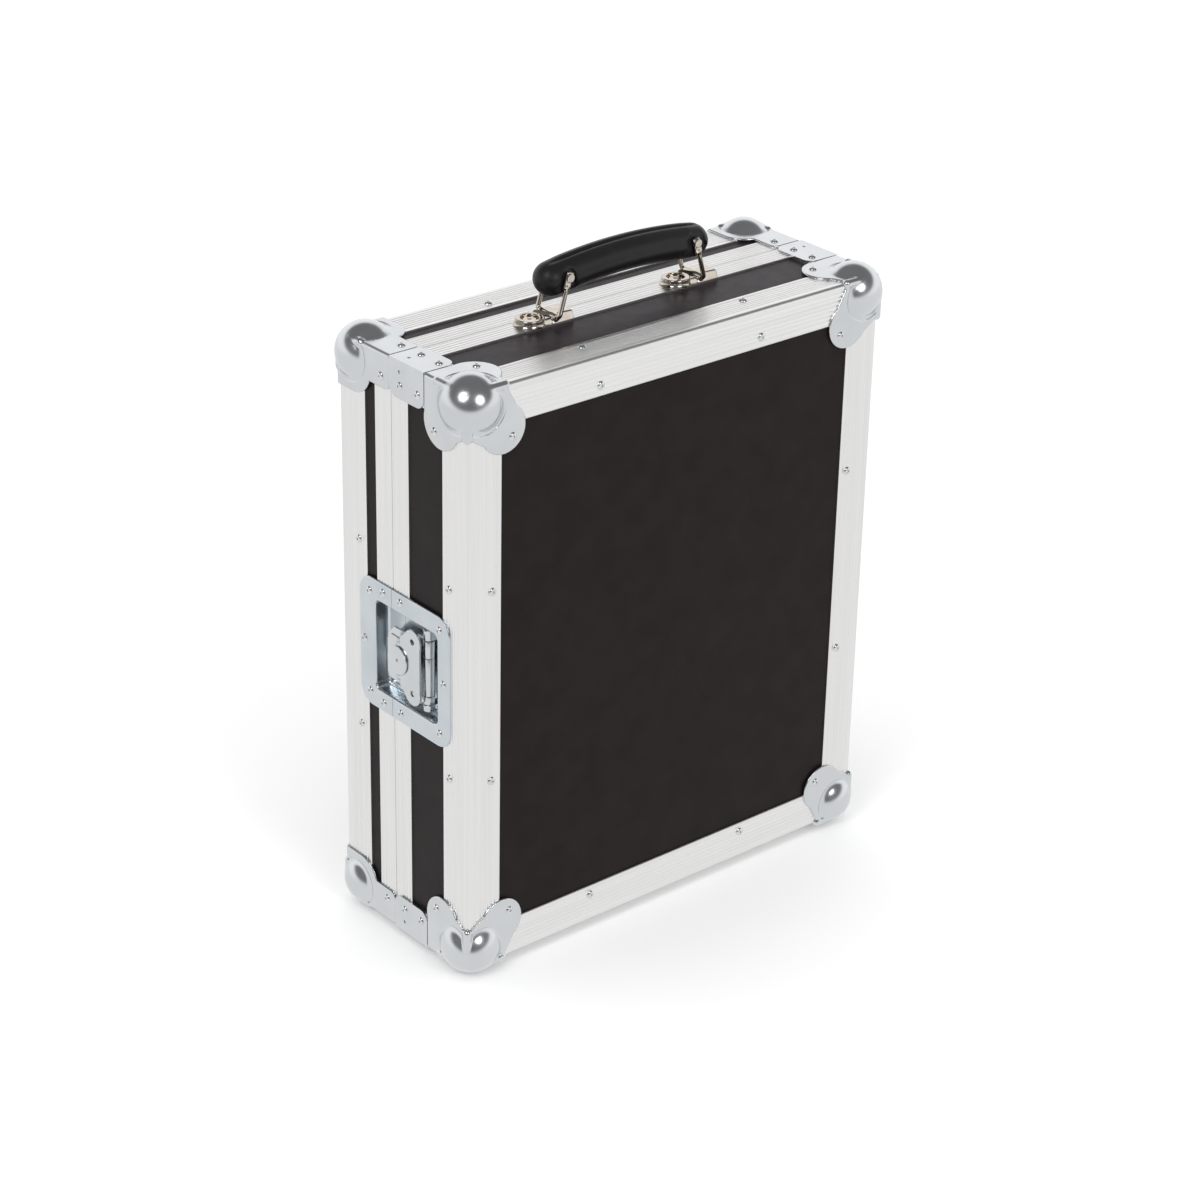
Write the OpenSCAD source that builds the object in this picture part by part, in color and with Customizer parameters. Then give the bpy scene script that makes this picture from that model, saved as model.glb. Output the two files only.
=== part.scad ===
// Carry case for miniatures: a laminated board case with aluminium edging and steel ball corners.
// It stands on its narrow side. +Z is up, the base's big board faces -Y and the lid lifts off
// along +Y. The origin is the middle of the bounding box, on the floor. All sizes are millimetres.

/* [Case] */
// Width over the aluminium, left to right
case_w = 383; // [360:1:420]
// Depth over the aluminium, base board to lid board
case_d = 147; // [140:1:170]
// Height over the aluminium, as it stands
case_h = 455; // [430:1:500]
// Depth of the base half, up to the parting line
base_depth = 86; // [84:1:90]
// Thickness of the laminated board
board_t = 7; // [6:0.5:9]

/* [Aluminium edging] */
// Thickness of the extrusions
skin_t = 1.5; // [1:0.1:2]
// Leg of the edge angles on the two big boards
face_leg = 30; // [25:1:35]
// Leg of the base's edge angles on the narrow sides
base_side_leg = 28; // [25:1:32]
// Leg of the lid's edge angles on the narrow sides
lid_side_leg = 30; // [25:1:32]
// Width of each closing profile beside the parting line
closing_leg = 19.2; // [16:0.1:22]

/* [Ball corners] */
// Radius of the pressed ball
ball_r = 22; // [20:0.5:24]
// Distance of the ball's centre inside each outer face
ball_inset = 13.5; // [12:0.5:15]
// Thickness of the pressed steel
steel_t = 1.5; // [1:0.1:2]

/* [Latches] */
// Height of the latch centre above the case's lower edge
latch_z = 226.5; // [200:0.5:260]
// Depth of the recess in the latch dish
dish_depth = 10.8; // [10:0.1:11.5]
// Travel of the hook in half a turn of the cam
hook_travel = 8; // [6:0.5:8]
// Radius of the holes in the ears of the turning wing
ear_hole_r = 2.3; // [2:0.1:2.5]

/* [Handle] */
// Distance between the two hinge axes of the wire stirrups
stirrup_span = 136; // [130:1:140]
// Distance between the cross pins in the grip
grip_span = 119; // [115:1:122]
// Length of a stirrup from hinge axis to cross pin
stirrup_len = 30; // [28:1:34]
// Radius of the grip
grip_r = 13; // [12:0.5:14]
// Length of the grip
grip_len = 157; // [150:1:165]

/* [Foam] */
// Number of pockets across
pocket_columns = 4; // [3:1:4]
// Number of pockets up
pocket_rows = 5; // [4:1:5]
// Thickness of the foam dividers
divider_t = 8; // [6:1:10]

/* [Hidden] */
$fn = 48;
eps = 1;
far = 1000;
fit_gap = 0.3;

aluminium = [0.86, 0.86, 0.85];
zinc = [0.72, 0.75, 0.78];
nickel = [0.75, 0.71, 0.66];
board_brown = [0.14, 0.11, 0.10];
foam_grey = [0.20, 0.20, 0.22];
grip_black = [0.08, 0.08, 0.08];

// Standing height of the case's lower edge over the floor
stand_z = ball_r - ball_inset;
// Inset of the boards' inner faces
inner = skin_t + board_t;
// Faces of the two halves at the parting line
base_end = base_depth - fit_gap / 2;
lid_start = base_depth + fit_gap / 2;

// Closing profiles
base_web_t = 2;
lid_web_t = 3;
inner_flange_t = 1.2;
inner_flange_len = 9.8;
channel = inner + inner_flange_t;
tongue_near = 4;
tongue_far = 6.5;
tongue_len = 2.2;
mitre_reach = 60;
mitre_gap = 0.05;

// Rivets
rivet_r = 3.25;
rivet_top_r = 2.3;
rivet_h = 1.3;
edge_rivet_in = 22;
edge_rivet_pitch = 150;
base_side_rivet_y = 21;
lid_side_rivet_y = 126.5;

// Ball corner plates
lobe_c = 32.1;
lobe_r = 18.7;
lobe_wide = 50.2;
lobe_narrow = 27.3;
lobe_rivet = 39.4;
front_lobe_shift = [1.4, 0.2];
side_lobe_shift = [1.5, 4];
top_lobe_shift = [4.6, 4.7];
front_rivet = [for (s = front_lobe_shift) lobe_rivet - s];
side_rivet = [for (s = side_lobe_shift) lobe_rivet - s];
top_rivet = [for (s = top_lobe_shift) lobe_rivet - s];
base_apex = 33;
lid_apex = 39;
lid_lobe_c = 20;
lid_lobe_y = 19;
lid_lobe_r = 19;
lid_arm_w = 25.5;
lid_arm_rivet = [17, 51];
arm_corner = 4;
room = 200;

// Parting line braces
brace_start = 46.5;
base_apex_y = brace_start - 0.3;
brace_w = 27;
brace_r = 8;
brace_rivet_in = 17.5;
brace_rivets_y = [54, 74];
brace_hole_in = 7;
brace_hole_r = 1.2;

// Latch dish, in the latch's own frame: +X outward from the face, Y as the case, Z from its centre
dish_t = 1.2;
dish_plate_t = 1.5;
dish_y0 = 18.5;
dish_y1 = 125;
dish_half_h = 51.75;
dish_corner_r = 14;
recess_y0 = 33.3;
recess_y1 = 106.4;
recess_half_h = 35.5;
cut_gap = 0.3;
dish_rivets_base = [[76.5, 44.5], [76.5, -44.5], [30.5, 41], [30.5, -41], [26, 0]];
dish_rivets_lid = [[97, 44.5], [97, -44.5], [113, 40.5], [113, -40.5], [119.5, 0]];

// Latch mechanism
pin_x = -5;
pin_y = 50.5;
pin_r = 2;
knuckle_r = 4.2;
roller_r = 4;
run_gap = 0.06;
arm_top = -3.3;
arm_t = 2;
arm_half_w = 19;
arm_end_y = 97;
hook_top = arm_top - arm_t - fit_gap;
hook_t = 2;
hook_half_w = 12;
hook_y0 = 61;
hook_y1 = 96;
hook_lip = 1.7;
cam_y = 76;
spindle_r = 4;
eccentric_r = 3;
slot_play = 1;
disc_r = 11;
disc_top = 4.6;
wing_bottom = dish_plate_t + fit_gap;
wing_t = 1.5;
wing_mid = wing_bottom + wing_t / 2;
wing_edge_y = 51;
ear_y = 59.5;
ear_z = 20.6;
ear_r = 9.2;
fold_pin_r = 0.8;
fold_knuckle_r = 1.5;
keeper_h = 1.2;

// Handle
handle_y = 76.3;
handle_x = 199;
hinge_up = 4;
wire_r = 1.75;
leg_y = 12.25;
eye_r = 4.6;
eye_t = 2.4;
cross_pin_r = 2;
pin_head_r = 3.2;
slack_hole_r = 4.2;
plate_w = 19.4;
plate_t = 1.5;
plate_front = 33.5;
dome_to_hinge = 17;
dome_hole_r = 6.3;
dome_h = 5.5;
channel_h = 7.5;
channel_start = 8.2;
lean = asin((stirrup_span - grip_span) / 2 / stirrup_len);
eye_up = hinge_up + stirrup_len * cos(lean);
grip_rise = 35;
grip_sag = 6;
grip_arc_r = (pow(grip_len / 2, 2) + pow(grip_sag, 2)) / (2 * grip_sag);
grip_taper = 9;
grip_core = grip_len / 2 - grip_taper;
grip_half_angle = asin(grip_core / grip_arc_r);
pocket_depth_y = 10.2;

// Foam
foam_edge = channel + 0.2;
foam_floor_t = 10;
wall_t = 12;
wall_end_y = 82;
divider_end_y = 76;
lid_foam_start = 91;
pocket_w = (case_w - 2 * foam_edge - 2 * wall_t - (pocket_columns - 1) * divider_t) / pocket_columns;
pocket_h = (case_h - 2 * foam_edge - 2 * wall_t - (pocket_rows - 1) * divider_t) / pocket_rows;

// ---------------------------------------------------------------- placing

// The case is drawn from its own lower front left corner, then set on its ball corners
module stand() {
  translate([-case_w / 2, -case_d / 2, stand_z]) children();
}

// An outline in X and Z, made solid from y0 to y1
module solid_y(y0, y1) {
  translate([0, y1, 0]) rotate([90, 0, 0]) linear_extrude(y1 - y0) children();
}

// A corner's own frame has its origin at the outer corner and all axes pointing into the case
module at_corner(right, top, lid) {
  translate([right ? case_w : 0, lid ? case_d : 0, top ? case_h : 0])
    mirror([right ? 1 : 0, 0, 0]) mirror([0, lid ? 1 : 0, 0]) mirror([0, 0, top ? 1 : 0])
      children();
}

// The latch's own frame on the right side, and its mirror image on the left
module at_latch(right) {
  if (right) translate([case_w, 0, latch_z]) children();
  else translate([0, 0, latch_z]) mirror([1, 0, 0]) children();
}

module on_left(y, z, lift = 0) {
  translate([-lift, y, z]) rotate([0, -90, 0]) children();
}

module on_right(y, z, lift = 0) {
  translate([case_w + lift, y, z]) rotate([0, 90, 0]) children();
}

module on_front(x, z, lift = 0) {
  translate([x, -lift, z]) rotate([90, 0, 0]) children();
}

module on_back(x, z, lift = 0) {
  translate([x, case_d + lift, z]) rotate([-90, 0, 0]) children();
}

module on_top(x, y, lift = 0) {
  translate([x, y, case_h + lift]) children();
}

module on_bottom(x, y, lift = 0) {
  translate([x, y, -lift]) rotate([180, 0, 0]) children();
}

// ---------------------------------------------------------------- boards

// A block that follows the case's outline, inset on all four narrow sides
module slab(inset, y0, y1) {
  translate([inset, y0, inset]) cube([case_w - 2 * inset, y1 - y0, case_h - 2 * inset]);
}

module ring(outer, inner_edge, y0, y1) {
  difference() {
    slab(outer, y0, y1);
    slab(inner_edge, y0 - eps, y1 + eps);
  }
}

// Room for the recess of both latch dishes
module dish_room(depth) {
  gap = dish_t + cut_gap;
  for (right = [false, true])
    at_latch(right)
      translate([-depth, recess_y0 - gap, -recess_half_h - gap])
        cube([depth + eps, recess_y1 - recess_y0 + 2 * gap, 2 * (recess_half_h + gap)]);
}

module side_board(right, y0, y1) {
  x = right ? case_w - inner : skin_t;
  color(board_brown) stand() difference() {
    translate([x, y0, skin_t]) cube([board_t, y1 - y0, case_h - 2 * skin_t]);
    dish_room(inner + eps);
  }
}

module level_board(top, y0, y1) {
  z = top ? case_h - inner : skin_t;
  color(board_brown) stand()
    translate([inner, y0, z]) cube([case_w - 2 * inner, y1 - y0, board_t]);
}

module big_board(y) {
  color(board_brown) stand() slab(skin_t, y, y + board_t);
}

// ---------------------------------------------------------------- aluminium edging

// One side's share of a frame, cut at 45 degrees through the corners
module mitre(side) {
  g = mitre_gap;
  m = mitre_reach;
  w = case_w;
  h = case_h;
  e = eps;
  solid_y(-eps, case_d + eps)
    polygon(
      side == "left" ? [[-e, g - e], [m, m + g], [m, h - m - g], [-e, h + e - g]] :
      side == "right" ? [[w + e, g - e], [w - m, m + g], [w - m, h - m - g], [w + e, h + e - g]] :
      side == "bottom" ? [[g - e, -e], [m + g, m], [w - m - g, m], [w + e - g, -e]] :
      [[g - e, h + e], [m + g, h - m], [w - m - g, h - m], [w + e - g, h + e]]
    );
}

module base_angle(side) {
  color(aluminium) stand() intersection() {
    difference() {
      slab(0, 0, base_side_leg);
      slab(skin_t, skin_t, base_side_leg + eps);
      slab(face_leg, -eps, skin_t + eps);
    }
    mitre(side);
  }
}

module lid_angle(side) {
  color(aluminium) stand() intersection() {
    difference() {
      slab(0, case_d - lid_side_leg, case_d);
      slab(skin_t, case_d - lid_side_leg - eps, case_d - skin_t);
      slab(face_leg, case_d - skin_t - eps, case_d + eps);
    }
    mitre(side);
  }
}

// Short angles on the four edges that run through the depth
module depth_angles(y0, y1, leg) {
  color(aluminium) stand()
    for (right = [false, true], top = [false, true])
      translate([right ? case_w : 0, 0, top ? case_h : 0])
        mirror([right ? 1 : 0, 0, 0]) mirror([0, 0, top ? 1 : 0])
          difference() {
            translate([0, y0, 0]) cube([leg, y1 - y0, leg]);
            translate([skin_t, y0 - eps, skin_t]) cube([leg, y1 - y0 + 2 * eps, leg]);
          }
}

module base_closing_profiles() {
  color(aluminium) stand()
    for (side = ["left", "right", "top", "bottom"])
      difference() {
        intersection() {
          union() {
            ring(0, skin_t, base_depth - closing_leg, base_end);
            ring(skin_t, channel, base_end - base_web_t, base_end);
            ring(inner, channel, base_end - base_web_t - inner_flange_len, base_end);
            ring(tongue_near, tongue_far, base_end - eps, base_end + tongue_len);
          }
          mitre(side);
        }
        dish_room(channel + eps);
      }
}

module lid_closing_profiles() {
  color(aluminium) stand()
    for (side = ["left", "right", "top", "bottom"])
      difference() {
        intersection() {
          union() {
            ring(0, skin_t, lid_start, base_depth + closing_leg);
            ring(skin_t, channel, lid_start, lid_start + lid_web_t);
            ring(inner, channel, lid_start, lid_start + lid_web_t + inner_flange_len);
          }
          mitre(side);
        }
        ring(tongue_near - fit_gap, tongue_far + fit_gap, lid_start - eps,
          lid_start + tongue_len + fit_gap);
        dish_room(channel + eps);
      }
}

// L-shaped steel braces that tie the closing profiles together round each edge
module brace_flange() {
  difference() {
    union() {
      translate([-steel_t, brace_start]) square([brace_w + steel_t - brace_r, base_end - brace_start]);
      translate([0, brace_start + brace_r])
        square([brace_w, base_end - brace_start - 2 * brace_r]);
      for (y = [brace_start + brace_r, base_end - brace_r])
        translate([brace_w - brace_r, y]) circle(r = brace_r);
    }
    translate([brace_hole_in, brace_rivets_y[1]]) circle(r = brace_hole_r, $fn = 24);
  }
}

module base_braces() {
  color(zinc) stand()
    for (right = [false, true], top = [false, true])
      at_corner(right, top, false) {
        translate([0, 0, -steel_t]) linear_extrude(steel_t) brace_flange();
        rotate([0, -90, 0]) linear_extrude(steel_t) brace_flange();
      }
}

// ---------------------------------------------------------------- ball corners

// A rounded lobe on the diagonal of one face, with its own reach along each of the two edges
module lobe_outline(apex, shift) {
  translate([lobe_c - shift[0], lobe_c - shift[1]]) circle(r = lobe_r);
  polygon([
    [-steel_t, -steel_t], [apex[0], -steel_t], [lobe_wide - shift[0], lobe_narrow],
    [lobe_narrow, lobe_wide - shift[1]], [-steel_t, apex[1]]
  ]);
}

// The lid's side plates: a rounded leg along the edge and an arm that runs to the parting line
module arm_outline() {
  arm_end = case_d - lid_start;
  translate([lid_lobe_c, lid_lobe_y]) circle(r = lid_lobe_r);
  polygon([
    [-steel_t, -steel_t], [lid_apex, -steel_t], [lid_apex, lid_lobe_y],
    [lid_arm_w, lid_lobe_y + lid_lobe_r - 2], [lid_arm_w, arm_end - arm_corner],
    [lid_arm_w - arm_corner, arm_end], [-steel_t, arm_end]
  ]);
}

// Pressed steel: a hollow ball over the corner, open towards the case, and its three plates
module pressed_corner() {
  difference() {
    union() {
      translate([ball_inset, ball_inset, ball_inset]) sphere(r = ball_r);
      children();
    }
    translate([ball_inset, ball_inset, ball_inset]) sphere(r = ball_r - steel_t);
    cube([room, room, room]);
  }
}

module base_ball_corner(right, top) {
  color(zinc) stand() at_corner(right, top, false) pressed_corner() {
    rotate([90, 0, 0]) linear_extrude(steel_t) lobe_outline([base_apex, base_apex], front_lobe_shift);
    translate([0, 0, -steel_t]) linear_extrude(steel_t)
      lobe_outline([base_apex, base_apex_y], top_lobe_shift);
    rotate([0, -90, 0]) linear_extrude(steel_t) lobe_outline([base_apex, base_apex_y], side_lobe_shift);
  }
}

module lid_ball_corner(right, top) {
  color(zinc) stand() at_corner(right, top, true) pressed_corner() {
    rotate([90, 0, 0]) linear_extrude(steel_t) lobe_outline([lid_apex, lid_apex], front_lobe_shift);
    translate([0, 0, -steel_t]) linear_extrude(steel_t) arm_outline();
    rotate([0, -90, 0]) linear_extrude(steel_t) arm_outline();
  }
}

// ---------------------------------------------------------------- rivets

module rivet() {
  cylinder(r1 = rivet_r, r2 = rivet_top_r, h = rivet_h, $fn = 24);
}

// Two rivets on each edge angle's narrow-side leg
module side_rivets(y) {
  for (s = [-0.5, 0.5]) {
    on_left(y, case_h / 2 + s * edge_rivet_pitch) rivet();
    on_right(y, case_h / 2 + s * edge_rivet_pitch) rivet();
    on_top(case_w / 2 + s * edge_rivet_pitch, y) rivet();
    on_bottom(case_w / 2 + s * edge_rivet_pitch, y) rivet();
  }
}

module base_rivets() {
  color(zinc) stand() {
    side_rivets(base_side_rivet_y);
    for (s = [-0.5, 0.5]) {
      for (x = [edge_rivet_in, case_w - edge_rivet_in])
        on_front(x, case_h / 2 + s * edge_rivet_pitch) rivet();
      for (z = [edge_rivet_in, case_h - edge_rivet_in])
        on_front(case_w / 2 + s * edge_rivet_pitch, z) rivet();
    }
    for (right = [false, true], top = [false, true])
      at_corner(right, top, false) {
        translate([front_rivet[0], -steel_t, front_rivet[1]]) rotate([90, 0, 0]) rivet();
        translate([-steel_t, side_rivet[1], side_rivet[0]]) rotate([0, -90, 0]) rivet();
        translate([top_rivet[0], top_rivet[1], -steel_t]) rotate([180, 0, 0]) rivet();
        for (y = brace_rivets_y) {
          translate([-steel_t, y, brace_rivet_in]) rotate([0, -90, 0]) rivet();
          translate([brace_rivet_in, y, -steel_t]) rotate([180, 0, 0]) rivet();
        }
      }
    for (right = [false, true], p = dish_rivets_base)
      at_latch(right) translate([dish_plate_t, p[0], p[1]]) rotate([0, 90, 0]) rivet();
  }
}

module lid_rivets() {
  color(zinc) stand() {
    side_rivets(lid_side_rivet_y);
    for (s = [-0.5, 0.5]) {
      for (x = [edge_rivet_in, case_w - edge_rivet_in])
        on_back(x, case_h / 2 + s * edge_rivet_pitch) rivet();
      for (z = [edge_rivet_in, case_h - edge_rivet_in])
        on_back(case_w / 2 + s * edge_rivet_pitch, z) rivet();
    }
    for (right = [false, true], top = [false, true])
      at_corner(right, top, true) {
        translate([front_rivet[0], -steel_t, front_rivet[1]]) rotate([90, 0, 0]) rivet();
        translate([-steel_t, lid_arm_rivet[1], lid_arm_rivet[0]]) rotate([0, -90, 0]) rivet();
        translate([lid_arm_rivet[0], lid_arm_rivet[1], -steel_t]) rotate([180, 0, 0]) rivet();
      }
    for (right = [false, true], p = dish_rivets_lid)
      at_latch(right) translate([dish_plate_t, p[0], p[1]]) rotate([0, 90, 0]) rivet();
  }
}

// ---------------------------------------------------------------- foam

module base_foam_floor() {
  color(foam_grey) stand() slab(foam_edge, inner, inner + foam_floor_t);
}

module base_foam_walls() {
  y0 = inner + foam_floor_t;
  depth = wall_end_y - y0;
  long = case_h - 2 * foam_edge;
  short = case_w - 2 * foam_edge - 2 * wall_t;
  color(foam_grey) stand() {
    difference() {
      for (x = [foam_edge, case_w - foam_edge - wall_t])
        translate([x, y0, foam_edge]) cube([wall_t, depth, long]);
      dish_room(dish_depth + dish_t + cut_gap);
    }
    for (z = [foam_edge, case_h - foam_edge - wall_t])
      translate([foam_edge + wall_t + mitre_gap, y0, z])
        cube([short - 2 * mitre_gap, depth, wall_t]);
  }
}

function column_x(i) = foam_edge + wall_t + i * (pocket_w + divider_t);
function row_z(i) = foam_edge + wall_t + i * (pocket_h + divider_t);

module base_foam_long_dividers() {
  y0 = inner + foam_floor_t;
  color(foam_grey) stand()
    for (i = [1 : pocket_columns - 1])
      translate([column_x(i) - divider_t, y0, foam_edge + wall_t])
        cube([divider_t, divider_end_y - y0, case_h - 2 * (foam_edge + wall_t)]);
}

module base_foam_short_dividers() {
  y0 = inner + foam_floor_t;
  color(foam_grey) stand()
    for (i = [0 : pocket_columns - 1], j = [1 : pocket_rows - 1])
      translate([column_x(i), y0, row_z(j) - divider_t])
        cube([pocket_w, divider_end_y - y0, divider_t]);
}

module lid_foam() {
  color(foam_grey) stand() difference() {
    slab(foam_edge, lid_foam_start, case_d - inner);
    dish_room(dish_depth + dish_t + cut_gap);
  }
}

// ---------------------------------------------------------------- latches, in the latch's own frame

// Cylinder along Z in the latch frame, from z0 to z1
module rod(x, y, r, z0, z1) {
  translate([x, y, z0]) cylinder(r = r, h = z1 - z0);
}

// Cylinder along X, standing outward from x0 to x1
module post(y, z, r, x0, x1) {
  translate([x0, y, z]) rotate([0, 90, 0]) cylinder(r = r, h = x1 - x0);
}

// A flat plate whose outline is drawn in Y and Z
module plate_x(x0, thickness) {
  translate([x0, 0, 0]) rotate([90, 0, 90]) linear_extrude(thickness) children();
}

module rounded_outline(y0, y1, half_h, r) {
  translate([y0 + r, -half_h]) square([y1 - y0 - 2 * r, 2 * half_h]);
  translate([y0, -half_h + r]) square([y1 - y0, 2 * (half_h - r)]);
  for (y = [y0 + r, y1 - r], z = [-half_h + r, half_h - r]) translate([y, z]) circle(r = r);
}

// Both halves of the dish before they are cut at the parting line
module whole_dish() {
  h = recess_half_h;
  difference() {
    union() {
      plate_x(0, dish_plate_t) rounded_outline(dish_y0, dish_y1, dish_half_h, dish_corner_r);
      translate([-dish_depth - dish_t, recess_y0 - dish_t, -h - dish_t])
        cube([dish_depth + dish_t, recess_y1 - recess_y0 + 2 * dish_t, 2 * (h + dish_t)]);
    }
    translate([-dish_depth, recess_y0, -h])
      cube([dish_depth + dish_plate_t + eps, recess_y1 - recess_y0, 2 * h]);
  }
}

dish_knuckles = [[24, 33], [-33, -27]];
arm_knuckles = [[10.4, 23.6], [-26.6, -20.4]];
roller_ends = [-20, 10];

module dish_base() {
  difference() {
    union() {
      intersection() {
        whole_dish();
        translate([-far / 2, -far + base_end, -far / 2]) cube([far, far, far]);
      }
      for (k = dish_knuckles) {
        rod(pin_x, pin_y, knuckle_r, k[0], k[1]);
        translate([-dish_depth - dish_t / 2, pin_y - knuckle_r, k[0]])
          cube([dish_depth + dish_t / 2 + pin_x, 2 * knuckle_r, k[1] - k[0]]);
      }
    }
    rod(pin_x, pin_y, pin_r, dish_knuckles[1][0] - eps, dish_knuckles[0][1] + eps);
  }
}

module dish_lid() {
  intersection() {
    whole_dish();
    translate([-far / 2, lid_start, -far / 2]) cube([far, far, far]);
  }
  // Keeper ridge that the hook's lip stands behind
  translate([-dish_depth - dish_t / 2, lid_start + 2, -hook_half_w])
    cube([dish_t / 2 + keeper_h, hook_y1 - 2.5 - lid_start - 2, 2 * hook_half_w]);
}

module hinge_pin() {
  rod(pin_x, pin_y, pin_r, dish_knuckles[1][0], dish_knuckles[0][1]);
  rod(pin_x, pin_y, roller_r, roller_ends[0], roller_ends[1]);
}

module arm() {
  bottom = arm_top - arm_t;
  root_y = pin_y + knuckle_r + 2 * fit_gap;
  tip = 7;
  difference() {
    union() {
      plate_x(bottom, arm_t) polygon([
        [root_y, arm_knuckles[1][0]], [root_y + tip, arm_knuckles[1][0]],
        [root_y + 2 * tip, -arm_half_w], [arm_end_y - tip, -arm_half_w],
        [arm_end_y, tip - arm_half_w], [arm_end_y, arm_half_w - tip],
        [arm_end_y - tip, arm_half_w], [root_y + 2 * tip, arm_half_w],
        [root_y + tip, arm_knuckles[0][1]], [root_y, arm_knuckles[0][1]]
      ]);
      for (k = arm_knuckles) {
        rod(pin_x, pin_y, knuckle_r, k[0], k[1]);
        translate([bottom, pin_y, k[0]]) cube([arm_t, root_y + eps - pin_y, k[1] - k[0]]);
      }
      // Rails that guide the hook
      for (z = [hook_half_w + fit_gap, -hook_half_w - fit_gap - arm_t / 2])
        translate([hook_top - hook_t, hook_y0, z])
          cube([bottom - hook_top + hook_t + fit_gap, 29, arm_t / 2]);
    }
    rod(pin_x, pin_y, pin_r + run_gap, -far, far);
    // The eyes are cleared over the roller
    rod(pin_x, pin_y, knuckle_r + fit_gap, arm_knuckles[1][1], arm_knuckles[0][0]);
    post(cam_y, 0, spindle_r + run_gap, bottom - eps, arm_top + eps);
  }
}

module hook() {
  slot_y = eccentric_r + slot_play;
  slot_z = eccentric_r + hook_travel / 2 + fit_gap;
  eccentric_y = cam_y - hook_travel / 2;
  difference() {
    union() {
      translate([hook_top - hook_t, hook_y0, -hook_half_w])
        cube([hook_t, hook_y1 - hook_y0, 2 * hook_half_w]);
      translate([hook_top - hook_t - hook_lip, hook_y1 - 2, -hook_half_w])
        cube([hook_t + hook_lip, 2, 2 * hook_half_w]);
    }
    translate([hook_top - hook_t - eps, eccentric_y - slot_y, -slot_z])
      cube([hook_t + 2 * eps, 2 * slot_y, 2 * slot_z]);
  }
}

cam_skirt_r = 9;
cam_skirt_top = 0.8;
fold_knuckle = [11.8, 14.8];
fold_lug = [15.1, 17.6];
carrier_end_y = 88.6;
carrier_chamfer = 4;

module carrier_outline() {
  z = fold_lug[1];
  y0 = cam_y + 1.8;
  c = carrier_chamfer;
  polygon([
    [y0, -z], [carrier_end_y - c, -z], [carrier_end_y, c - z],
    [carrier_end_y, z - c], [carrier_end_y - c, z], [y0, z]
  ]);
}

// Spindle, eccentric and turning disc, with the half plate that carries the wing's fold pin
module cam() {
  difference() {
    union() {
      post(cam_y - hook_travel / 2, 0, eccentric_r, hook_top - hook_t - fit_gap,
        hook_top + fit_gap / 3);
      post(cam_y, 0, spindle_r, hook_top, arm_top + fit_gap);
      post(cam_y, 0, cam_skirt_r, arm_top + fit_gap, cam_skirt_top);
      post(cam_y, 0, disc_r, cam_skirt_top, disc_top);
      plate_x(wing_bottom, wing_t) carrier_outline();
      for (s = [-1, 1]) {
        z0 = s > 0 ? fold_lug[0] : -fold_lug[1];
        rod(wing_mid, cam_y, fold_knuckle_r, z0, z0 + fold_lug[1] - fold_lug[0]);
        translate([wing_bottom, cam_y, z0]) cube([wing_t, 3, fold_lug[1] - fold_lug[0]]);
      }
      rod(wing_mid, cam_y, fold_pin_r, -fold_lug[1], fold_lug[1]);
    }
    post(cam_y, 0, 1.3, disc_top - 1, disc_top + eps);
  }
}

module wing_outline() {
  inner_y = cam_y - fold_knuckle_r - fit_gap;
  difference() {
    union() {
      polygon([
        [wing_edge_y, -17], [wing_edge_y, 17], [55, 28], [63.5, 29],
        [inner_y, 18.6], [inner_y, -18.6], [63.5, -29], [55, -28]
      ]);
      for (s = [-1, 1]) {
        translate([ear_y, s * ear_z]) circle(r = ear_r);
        translate([inner_y - eps, s > 0 ? fold_knuckle[0] : -fold_knuckle[1]])
          square([cam_y - inner_y + eps, fold_knuckle[1] - fold_knuckle[0]]);
      }
    }
    translate([cam_y, 0]) circle(r = disc_r + 2 * fit_gap);
    for (s = [-1, 1]) translate([ear_y, s * ear_z]) circle(r = ear_hole_r);
  }
}

module wing() {
  difference() {
    union() {
      plate_x(wing_bottom, wing_t) wing_outline();
      for (s = [-1, 1]) {
        z0 = s > 0 ? fold_knuckle[0] : -fold_knuckle[1];
        rod(wing_mid, cam_y, fold_knuckle_r, z0, z0 + fold_knuckle[1] - fold_knuckle[0]);
      }
    }
    rod(wing_mid, cam_y, fold_pin_r + run_gap, -far, far);
  }
}

module latch_left_dish_base() { color(zinc) stand() at_latch(false) dish_base(); }
module latch_left_dish_lid() { color(zinc) stand() at_latch(false) dish_lid(); }
module latch_left_hinge_pin() { color(zinc) stand() at_latch(false) hinge_pin(); }
module latch_left_arm() { color(zinc) stand() at_latch(false) arm(); }
module latch_left_cam() { color(zinc) stand() at_latch(false) cam(); }
module latch_left_wing() { color(zinc) stand() at_latch(false) wing(); }
module latch_left_hook() { color(zinc) stand() at_latch(false) hook(); }
module latch_right_dish_base() { color(zinc) stand() at_latch(true) dish_base(); }
module latch_right_dish_lid() { color(zinc) stand() at_latch(true) dish_lid(); }
module latch_right_hinge_pin() { color(zinc) stand() at_latch(true) hinge_pin(); }
module latch_right_arm() { color(zinc) stand() at_latch(true) arm(); }
module latch_right_cam() { color(zinc) stand() at_latch(true) cam(); }
module latch_right_wing() { color(zinc) stand() at_latch(true) wing(); }
module latch_right_hook() { color(zinc) stand() at_latch(true) hook(); }

// ---------------------------------------------------------------- handle

// Cylinder along Y, centred on y = 0, in the handle's frame
module bar_y(x, z, r, half_len) {
  translate([x, -half_len, z]) rotate([-90, 0, 0]) cylinder(r = r, h = 2 * half_len);
}

// The handle's frame: origin on the case's top, over the middle of the closing profile
module at_handle(x) {
  translate([x, handle_y, case_h]) children();
}

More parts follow.
